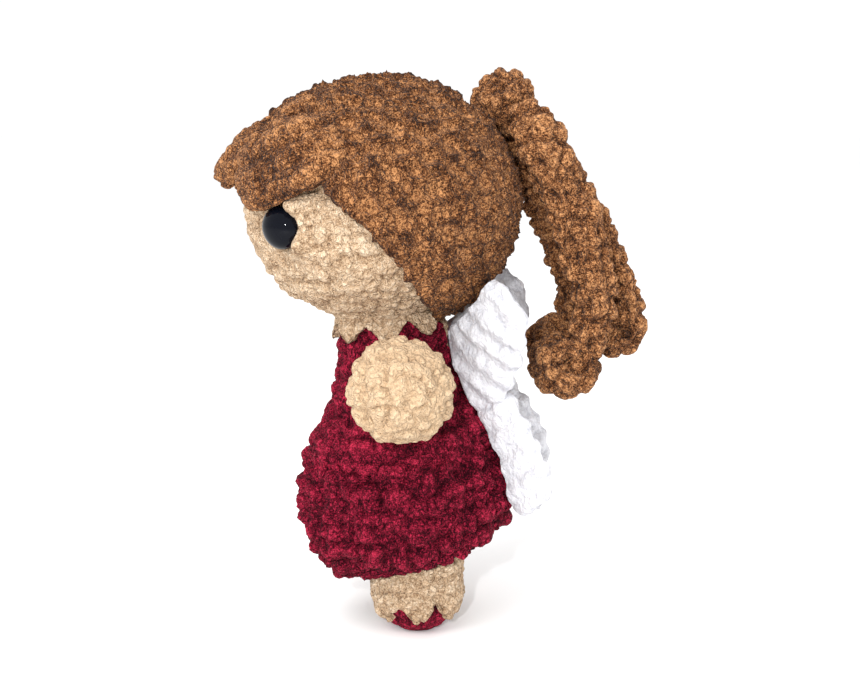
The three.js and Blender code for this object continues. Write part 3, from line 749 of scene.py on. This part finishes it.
LOCKS = {
    "fringe_left": ([67, 49, 31, 14], [34, 25, 21, 22], [0.07, 0.1, 0.1, 0.1], 16.5),
    "fringe_center": ([45, 24, 6, -8], [62, 46, 31, 17], [0, 0.02, 0.08, 0.216], 12),
    "fringe_right": ([-64, -48, -36, -25], [44, 32, 22, 15], [0.04, 0.06, 0.08, 0.12], 13),
}
LOCK_SHARES = [(0.03, 0.55), (0.16, 0.85), (0.38, 1), (0.62, 1), (0.82, 0.88), (0.95, 0.58)]
LOCK_DEEP, LOCK_OUT = 5.9, 2.0
for number, (name, (azimuths, elevations, lifts, half_width)) in enumerate(LOCKS.items()):
    route = zip(azimuths, elevations, lifts)
    points = [over_head(*angles, HEAD_RADIUS * lift) for *angles, lift in route]
    line = curved(points, 60)
    wide_along = np.cross(points[1] - HEAD, line[31] - line[28])
    outline = stuffed(LOCK_SHARES, steps_of(line).sum(), half_width - INSET, LOCK_DEEP, 90)
    grid = formed(line, outline, wide_along, 110)
    crocheted(f"{name}_lock", grid, on_head, brown, "head", [name], 21.0 + number,
              depth=3.4, wide=30.0, high=10.0, tilt=0.1, domes=(0,), sway=1.2, lengthwise=True,
              rooms=[outside_oval(HEAD, HEAD_SIZE + LOCK_OUT)])

# %% [markdown]
# ## The ponytail
# The hair is gathered in a knot, and three strips of crochet hang from it. Each strip is wide and
# flat where it hangs. At its end it turns on edge and is rolled up, and the roll's end shows a
# spiral crease, because the strip is carried along one line: down its route and then round a
# shrinking circle.

# %% Knot
KNOT, KNOT_RADIUS = HEAD + [0, 56, 35], 12.4
knot_grid = lathed(ball_profile(KNOT_RADIUS, KNOT_RADIUS, KNOT[2], 60), 100, y=KNOT[1])
crocheted("ponytail_knot_ball", knot_grid, on_head, lit_strand_brown, "head", ["ponytail_knot"],
          31.0, depth=1.4, wide=8.5, high=8.0, lumps=2.2)

# %% Strands
SIDE_ROUTE = [(12, 2, -1), (17, 9, -18), (20, 17, -42), (21, 21, -65), (21, 23, -83)]
BACK_ROUTE = [(0, 8, 0), (0, 16, -19), (0, 30, -46), (0, 39, -70)]
# Side, route, the roll's middle and radius, half width, half depth, and the turn at the knot.
STRANDS = {
    "left": (1, SIDE_ROUTE, (18, 9, -103), 14.5, 6.5, 10.0, 0.0),
    "right": (-1, SIDE_ROUTE, (18, 9, -103), 14.5, 6.5, 10.0, math.radians(5.15)),
    "back": (1, BACK_ROUTE, (0, 38, -96), 11.4, 10.0, 6.5, 0.0),
}
# The roll's half depth, turns, last radius, and how far its middle line lies inside its radius.
COIL, ROLL_TURNS, ROLL_INNER, ROLL_INSET = 6.4, 1.3, 2.0, 4.9
HANG_SHARES, ROLL_SHARES = np.array([0, 0.02, 0.1, 0.25, 0.6, 0.85, 1]), np.array([0.85, 0.97, 1])
STRIP_GROWTH = np.array([0, 0.5, 0.9, 1, 1, 1, 0.95, 0.95, 0.7, 0])
ROLL_WIDTHS, ROLL_STEPS, ROLL_LEAD = [10.5, 10.5, 9.5, 9.5], 14, 6
STRIP_ROOMS = [outside_oval(KNOT, np.full(3, 13.4)), outside_oval(HEAD, HEAD_SIZE + 7.0)]


def rolled(route, roll, radius, turns, inner):
    """The route's points, then a circle round the roll's middle whose radius shrinks evenly."""
    angle = np.linspace(0, 2 * np.pi * turns, round(ROLL_STEPS * turns) + 1)[1:]
    reach = np.linspace(radius, inner, len(angle))
    x, y, z = roll
    spiral = [np.full(len(angle), x), y + reach * np.cos(angle), z - reach * np.sin(angle)]
    return np.vstack([route, [(x, y + radius, z + ROLL_LEAD)], np.stack(spiral, 1)])


for number, (name, (side, route, roll, radius, across, deep, swing)) in enumerate(STRANDS.items()):
    route_points = np.array(route, float) * (side, 1, 1) + KNOT
    middle = np.array(roll, float) * (side, 1, 1) + KNOT
    winding = radius - ROLL_INSET
    line = curved(rolled(route_points, middle, winding, ROLL_TURNS, ROLL_INNER), 240)
    length = steps_of(line).sum()
    hang = length - 2 * np.pi * ROLL_TURNS * (winding + ROLL_INNER) / 2
    at = np.concatenate([hang * HANG_SHARES, length * ROLL_SHARES])
    widths = np.array([across] * 6 + ROLL_WIDTHS) * STRIP_GROWTH
    depths = np.array([deep] * 5 + [0.5 * (deep + COIL)] + [COIL] * 4) * STRIP_GROWTH
    grid = formed(line, curved(np.stack([at, widths, depths], 1), 230), (1, 0, 0), 84)

    def place(points, swing=swing):
        """A strand's points turned about the knot, then placed with the head."""
        return on_head(KNOT + turned(points - KNOT, 0, swing))

    crocheted(f"strand_{name}_strip", grid, place, lit_strand_brown, f"strand_{name}",
              [f"curl_{name}"], 41.0 + number, depth=1.7, wide=9.0, high=8.6,
              lumps=2.4, rooms=STRIP_ROOMS)

# %% [markdown]
# ## The dress
# The dress's top is the doll's own body, worked in wine-red yarn: one pear shape from the waist to
# the neck. The skirt is a thick ring of big soft puffs over it, and its hem is higher at the back.

# %% Bodice
WAIST_Z, TOP_Z, WAIST_RADIUS = 71.0, 122.0, 37.5
BODICE = np.array([(0, 1), (0.2, 0.92), (0.46, 0.74), (0.67, 0.64), (0.8, 0.585), (1, 0.56)])


def bodice_radius(z):
    """The dress top's radius at a height, straight between the outline's points."""
    return WAIST_RADIUS * np.interp((z - WAIST_Z) / (TOP_Z - WAIST_Z), BODICE[:, 0], BODICE[:, 1])


# The shoulder's place, the full waist over the skirt, and the dent under each arm.
SHOULDER_Y, SHOULDER_Z = 1.0, TOP_Z - 16.5
SHOULDER_X = float(bodice_radius(SHOULDER_Z)) + 1.7
FULL_HIGH, FULL_Z, FULL_TALL, DENT_DEEP, DENT_WIDE = 2.2, 77, 6, 3.2, 6.0
core = curved([(40, 0), (41.2, 19), (44.4, 26), (50, 30), (56, 30.9), (70.2, 30.9)], 40)
rising = [(WAIST_Z + at * (TOP_Z - WAIST_Z), size * WAIST_RADIUS - 0.5) for at, size in BODICE]
upper = curved(rising, 60)
rim = [(122.0, 20.2), (124.2, 19.2), (125.4, 17.8), (124.6, 16.4), (122.2, 14.6), (122.2, 0)]
profile = evenly(np.vstack([core, [71.0, 35.5], upper[1:-1], rim]), 158)
bodice_grid = lathed(profile, 290)
z, reach = profile.T
seen = fade(z, 68, 72) * fade(reach, 12, 20) * fade(z, 127, 122)
swell = (FULL_HIGH * hill(z - FULL_Z, FULL_TALL) * seen)[None]
dent = 0.0
for side in (-1, 1):
    spot = (side * SHOULDER_X, SHOULDER_Y, SHOULDER_Z)
    dent = dent - DENT_DEEP * hill(away_from(bodice_grid, spot), DENT_WIDE, 4)
crocheted("dress_bodice_crochet", bodice_grid, on_torso, wine, "torso",
          ["dress_bodice", "body_stuffing"], 51.0, depth=1.0, wide=8.6, high=8.0,
          lumps=1.8, show=seen[None], shape=dent + swell)

# %% Skirt
HEM_Z, HEM_RISE, SKIRT_RADIUS, SKIRT_TOP, SKIRT_INSIDE = 29.0, 4.5, 42.6, 74.0, 32.2
PUFF_WIDE, PUFF_TALL, PUFF_SWAY, PUFF_BEND, PUFF_HIGH, PUFF_MEAN = 18.0, 15.0, 3.0, 20.0, 6.5, 0.64
PUFF_SEED, FOLD_SIZE = 5.0, 11.0
SKIRT = [(0, 0.72), (0.03, 0.8), (0.1, 0.87), (0.2, 0.95), (0.37, 1), (0.6, 1.01), (0.8, 0.98),
         (0.92, 0.94), (1, 0.84)]
outer = curved([(HEM_Z + at * (SKIRT_TOP - HEM_Z), size * SKIRT_RADIUS) for at, size in SKIRT], 70)
inside = [outer[-1], (SKIRT_TOP, SKIRT_INSIDE), (HEM_Z + 5, SKIRT_INSIDE), outer[0]]
section = np.vstack([outer, evenly(inside, 62)[1:-1]])
skirt_turn = round_shares(360)
angle = 2 * np.pi * skirt_turn
share = fade(section[:, 0], HEM_Z, SKIRT_TOP)
height = section[:, 0] + (1 - share) * HEM_RISE * np.sin(angle)
skirt_points = np.stack([section[:, 1] * np.cos(angle), section[:, 1] * np.sin(angle), height], -1)
skirt_along = walked(steps_of(section))[None]
skirt_girth = 2 * np.pi * section[None, :, 1]
puff_high, puff_counts = rows_on(skirt_along, skirt_girth, PUFF_WIDE, PUFF_TALL)
puff_turn = skirt_turn + PUFF_SWAY * fuzz(skirt_points, PUFF_BEND, 7.0) / skirt_girth
puff_along = skirt_along + PUFF_SWAY * fuzz(skirt_points, PUFF_BEND, 8.0)
puffs = loops(puff_turn, puff_along, skirt_girth, puff_high, puff_counts, PUFF_WIDE, PUFF_SEED,
              tilt=0.3, domes=(0,), power=0.6)
puffs = 0.5 * puffs + 0.5 * clumps(skirt_points, FOLD_SIZE, 9.0)
fading = [np.linspace(1, 0, 14), np.zeros(36), np.linspace(0, 0.5, 14)]
seen = np.concatenate([np.linspace(0.5, 1, 6), np.ones(60), *fading])[None]
skirt_grid = (skirt_points, skirt_turn, skirt_along, skirt_girth)
# The puffs also paint shade into the colour in the folds between them.
crocheted("dress_skirt_crochet", skirt_grid, on_torso, wine, "torso", ["dress_skirt"],
          61.0, depth=0.5, wide=7.4, high=7.0, lumps=2.2, soft=0.9, show=seen,
          ring=True, shape=PUFF_HIGH * (puffs - PUFF_MEAN) * seen, puffs=puffs)

# %% [markdown]
# ## The neck
# The last skin-coloured rounds under the head end in points that hang over the dress's top edge.
# The grid's lower edge is a wave round the neck. Below the dress's edge it lies just outside the
# dress.

# %% Neck
def hanging(turn, drops, low, high, slim=0.8):
    """The height of an edge that hangs in drops: a power of the cosine of the turn. A high power
    makes slim points with wide gaps."""
    return high - (high - low) * np.abs(np.cos(np.pi * drops * turn)) ** slim


NECK_TOP, NECK_DROPS, NECK_TIPS, NECK_NOTCHES = 130.5, 8, 118.2, 125.4
NECK_OUT, NECK_RADIUS, NECK_TUCK = 1.9, 20.0, 1.2
neck_turn = round_shares(240)
neck_edge = hanging(neck_turn, NECK_DROPS, NECK_TIPS, NECK_NOTCHES, slim=1.5)
rise = np.concatenate([np.zeros(8), np.linspace(0, 1, 26), np.ones(5)])[None]
under = [np.linspace(0, 0.6, 6), [0.8, 0.95], np.ones(26), [0.9, 0.7, 0.45, 0.2, 0]]
under = np.concatenate(under)[None]
neck_z = neck_edge + rise * (NECK_TOP - neck_edge) + NECK_TUCK * (rise < 0.5) * (1 - under)
reaches = [bodice_radius(TOP_Z) + NECK_OUT, NECK_RADIUS]
above = np.interp(neck_z, [TOP_Z, NECK_TOP - 2], reaches)
below = bodice_radius(np.minimum(neck_z, TOP_Z)) + NECK_OUT
neck_radius = np.where(neck_z > TOP_Z, above, below) * under
angle = 2 * np.pi * neck_turn
neck_points = np.stack([neck_radius * np.cos(angle), neck_radius * np.sin(angle), neck_z], -1)
neck_along = neck_z - neck_z.min()
neck_grid = (neck_points, neck_turn, neck_along, 2 * np.pi * np.maximum(neck_radius, 1.0))
collar = crocheted("neck_points", neck_grid, on_torso, skin, None, ["neck_collar"],
                   71.0, depth=0.9, wide=7.3, high=6.5, lumps=0.7, show=under**3,
                   pile=0.25)
tuple(on_torso([0, 0, 119.0]))
tuple(on_torso([0, 0, 129.0]))
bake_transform(collar)

# %% [markdown]
# ## Arms and legs
# The arms are stubby mitts, narrow where they are sewn on and round at the hand, worked in fatter
# loops than the head. The legs are short tubes. Their lowest skin-coloured round hangs over the
# wine-red shoe in points, as at the neck.

# %% Arms
ARM_SHARES = [(0.04, 0.17), (0.1, 0.25), (0.15, 0.34), (0.2, 0.46), (0.3, 0.7), (0.44, 0.92),
              (0.62, 1), (0.78, 0.9), (0.9, 0.66), (0.97, 0.36)]
ARM_RADIUS, ARM_ROOT, ARM_END = 19.6, -5, 39
for name, side, number in SIDES:
    aim = unit(np.array([side, 0.12, -0.05]))
    shoulder = np.array([side * SHOULDER_X, SHOULDER_Y, SHOULDER_Z])
    line = shoulder + np.linspace(ARM_ROOT, ARM_END, 30)[:, None] * aim
    outline = stuffed(ARM_SHARES, ARM_END - ARM_ROOT, ARM_RADIUS, ARM_RADIUS, 110)
    grid = formed(line, outline, (0, 0, 1), 150)
    crocheted(f"arm_{name}_mitt", grid, on_torso, soft_skin, f"arm_{name}",
              [f"arm_shell_{name}", f"arm_stuffing_{name}"], 81.0 + number,
              depth=1.1, wide=10.5, high=9.4, tilt=0.35, lumps=1.8, soft=0.9, pile=0.4,
              show=fade(grid[2], 10, 18, 0.25))

# %% Legs and shoes
LEG_SHARES = np.array([(0.01, 0.34), (0.05, 0.45), (0.12, 0.6), (0.22, 0.76), (0.36, 0.9),
                       (0.55, 0.98), (0.8, 1)])
LEG_HALF, LEG_BASE, SHOE_BASE, LEG_RADIUS = (13.5, 18.7), (13.4, 18.6), (13.1, 18.3), 16
LEG_DROPS, LEG_TIPS, LEG_NOTCHES, LEG_TOP, HIP_Z, SHOE_TOP = 6, 5.6, 14.6, 44.6, 26, 17.5
LEG_TUCK, CUFF_HIGH, CUFF_Z, CUFF_TALL, SHOE_SLIM = 3.0, 1.3, 5, 9.0, 0.9
over_hip = np.linspace(0, 1.5, 8)
leg_z = np.concatenate([LEG_SHARES[:, 0] * 26.5 - 0.5, HIP_Z + LEG_HALF[1] * np.sin(over_hip)])
leg_size = np.concatenate([LEG_SHARES[:, 1], np.cos(over_hip)])
foot = curved(np.stack([leg_z, leg_size], 1)[1:], 60)[:30] * [1, 0.95]
sole_profile = np.vstack([[(0, 0), (0, 0.33)], foot, [(17, 0.6), (SHOE_TOP, 0)]])
sole_profile[:, 0] = np.clip(sole_profile[:, 0], 0, SHOE_TOP)
sole_profile = evenly(sole_profile * [1, LEG_RADIUS], 60) / [1, LEG_RADIUS]


def above_floor(points):
    """A room that lifts points below the floor up to it."""
    return points * (1, 1, 0) + np.maximum(points, 0) * (0, 0, 1)


for name, side, number in SIDES:
    x, y = side * HIP[0], HIP[1]
    sole = lathed(sole_profile, 150, *SHOE_BASE, x, y)
    sole_z = sole[0][..., 2]
    crocheted(f"shoe_{name}_crochet", sole, on_floor, wine, f"leg_{name}", [f"shoe_{name}"],
              91.0 + number, depth=0.7, wide=7.0, high=6.5, lumps=0.5, soft=0.1,
              pile=0.2, show=fade(sole_z, 0, 3) * fade(sole_z, 13, 10, 0.1),
              shape=-SHOE_SLIM * fade(sole_z, 9, 13), rooms=[above_floor])
    leg_turn = round_shares(150)
    leg_edge = hanging(leg_turn, LEG_DROPS, LEG_TIPS, LEG_NOTCHES, slim=1.0)
    rise = np.concatenate([np.zeros(8), np.linspace(0, 1, 66)])[None]
    under = np.concatenate([np.linspace(0, 0.75, 5), [0.86, 0.94, 0.985], np.ones(66)])[None]
    z = leg_edge + rise * (LEG_TOP - leg_edge) + LEG_TUCK * (1 - under)
    size = np.interp(z, leg_z, leg_size) * under
    angle = oval_angle(leg_turn, *LEG_HALF)
    leg_x, leg_y = x + LEG_BASE[0] * size * np.cos(angle), y + LEG_BASE[1] * size * np.sin(angle)
    girth = 2 * np.pi * LEG_RADIUS * np.maximum(size, 0.1)
    grid = (np.stack([leg_x, leg_y, z + 0 * size], -1), leg_turn, z - z.min() + 0 * size, girth)
    swollen = CUFF_HIGH * hill(np.maximum(z - CUFF_Z, 0), CUFF_TALL) * under
    crocheted(f"leg_{name}_crochet", grid, on_floor, skin, f"leg_{name}",
              [f"leg_shell_{name}", f"leg_stuffing_{name}"], 95.0 + number,
              depth=1.0, wide=7.6, high=7.0, show=fade(z, 42, 36) * under**2,
              shape=swollen)

# %% [markdown]
# ## The wings
# Each wing is an upper and a lower padded petal of white yarn, sewn along a short seam on the back.
# Their loops are worked tight, so they show only as low ridges across the petal.

# %% Wings
SEAM_TURN, SEAM_HALF, SEAM_LEAN, SEAM_REACH, SEAM_Z = math.radians(17), 4.65, -0.4423, 33.93, 93.0
BARE_Z, BODICE_ROOM, SKIRT_REACH, RIGHT_SWEEP = 82.0, 1.6, 45, math.radians(13)
PETAL_INSET, PETAL_DEEP, RIDGE_HIGH, RIDGE_WIDE = 0.4, 5.6, 0.7, 10.0
PETAL = [(0.03, 0.66), (0.12, 0.86), (0.3, 0.97), (0.55, 1), (0.78, 0.92), (0.93, 0.64)]
ROOT = 8.0
WINGS = {"upper": ((25, 15, 39), 18.5, SEAM_HALF), "lower": ((18, 17, -41), 15.5, -SEAM_HALF)}


def on_seam(side, rise):
    """A point of the seam line on the back, by its distance up from the middle."""
    reach = SEAM_REACH + rise * math.sin(SEAM_LEAN)
    x, y = side * reach * math.sin(SEAM_TURN), reach * math.cos(SEAM_TURN)
    return np.array([x, y, SEAM_Z + rise * math.cos(SEAM_LEAN)])


def off_dress(points):
    """Pushes points straight out from the body's axis until they clear the bodice and the skirt."""
    z, reach = points[..., 2], np.hypot(points[..., 0], points[..., 1])
    levels = [HEM_Z + at * (SKIRT_TOP - HEM_Z) for at, _ in SKIRT[:-1]] + [BARE_Z]
    reaches = [size * SKIRT_REACH for _, size in SKIRT[:-1]] + [bodice_radius(BARE_Z) + BODICE_ROOM]
    room = np.where(z > BARE_Z, bodice_radius(z) + BODICE_ROOM, np.interp(z, levels, reaches))
    share = np.maximum(room / np.maximum(reach, 1e-6), 1)
    return points * np.stack([share, share, np.ones_like(share)], -1)


for name, side, number in SIDES:
    hinge = on_seam(side, 0)
    swept = RIGHT_SWEEP if side < 0 else 0.0
    for which, (reach, half_width, rise) in WINGS.items():
        start = on_seam(side, rise)
        tip = start + np.array(reach) * (side, 1, 1)
        aim, length = unit(tip - start), np.linalg.norm(tip - start)
        line = start + np.linspace(-ROOT, length, 60)[:, None] * aim
        wide_along = np.cross((-side, 1, 0), aim)
        outline = stuffed(PETAL, length + ROOT, half_width - PETAL_INSET, PETAL_DEEP, 104)
        grid = formed(line, outline, wide_along, 140)

        def place(points, hinge=hinge, swept=swept):
            """A petal's points turned about the wing's seam, pushed off the dress, then placed."""
            return on_torso(off_dress(hinge + turned(points - hinge, 2, -swept)))

        ridges = np.cos(2 * np.pi * (grid[2] + 2 * fuzz(grid[0], 12.0, 5.0)) / RIDGE_WIDE)
        crocheted(f"wing_{name}_{which}_petal", grid, place, white, f"wing_{name}",
                  [f"wing_{name}_{which}"], 101.0 + 3 * number + (rise > 0),
                  depth=0.3, wide=9.0, high=8.6, lumps=0.4, soft=1.0, tufts=0.3,
                  shape=RIDGE_HIGH * ridges, rooms=[outside_oval(HEAD, HEAD_SIZE + 9.6)])

# %% [markdown]
# ## Camera, floor and light
# The camera looks at the doll's left side from a little above. The floor and the light are plain:
# a pale plane, a bright soft sky, a large lamp in front, a weaker one behind, and a small one that
# puts the bright spot in the eye.

# %% Camera
# Its tilt down in degrees, its distance in metres, and its lens and sensor in millimetres.
TILT, DISTANCE, LENS, SENSOR = 10, 0.5, 52.33, 36.0
aim = np.array([0.0, -0.00353, 0.111])
tilt = math.radians(TILT)
camera = added("camera", bpy.data.cameras.new("camera"))
camera.data.lens, camera.data.sensor_width = LENS, SENSOR
camera.location = aim + DISTANCE * np.array([math.cos(tilt), 0, math.sin(tilt)])
camera.rotation_euler = (math.radians(90 - TILT), 0, math.radians(90))
bpy.context.scene.camera = camera

# %% Floor and light
FLOOR_HALF, FLOOR_Z, SKY_POWER, LAMP_AIM = 40, -0.0002, 1.04, 0.11
floor_look = Finish("pale floor")
floor_white = floor_look.surface(Base_Color=(0.98, 0.98, 0.98, 1.0), Roughness=0.9)
mesh = bpy.data.meshes.new("floor")
corners = np.array([(-1, -1, 0), (1, -1, 0), (1, 1, 0), (-1, 1, 0)]) * FLOOR_HALF + (0, 0, FLOOR_Z)
mesh.from_pydata(corners.tolist(), [], [(0, 1, 2, 3)])
mesh.materials.append(floor_white)
floor = added("floor", mesh)
world = bpy.data.worlds.new("studio")
world.use_nodes = True
sky = world.node_tree.nodes["Background"].inputs
sky["Color"].default_value, sky["Strength"].default_value = (1, 1, 1, 1), SKY_POWER
bpy.context.scene.world = world


def lamp(name, place, size, power, mirrored=False):
    """A square lamp at a place, aimed at the doll's middle. Only a mirrored one shows in an eye."""
    light = bpy.data.lights.new(name, "AREA")
    light.size, light.energy = size, power
    item = added(name, light)
    item.location = place
    x, y, z = np.array(place) - (0, 0, LAMP_AIM)
    item.rotation_euler = (math.atan2(math.hypot(x, y), z), 0, math.atan2(y, x) + math.pi / 2)
    item.visible_glossy = mirrored


lamp("key", (0.75, -0.55, 1.2), 0.9, 11.0)
lamp("rim", (-0.8, 0.7, 0.9), 0.9, 3.0)
lamp("spark", (0.62, -0.08, 0.30), 0.026, 2.2, mirrored=True)
bpy.context.scene.view_settings.view_transform = "Standard"
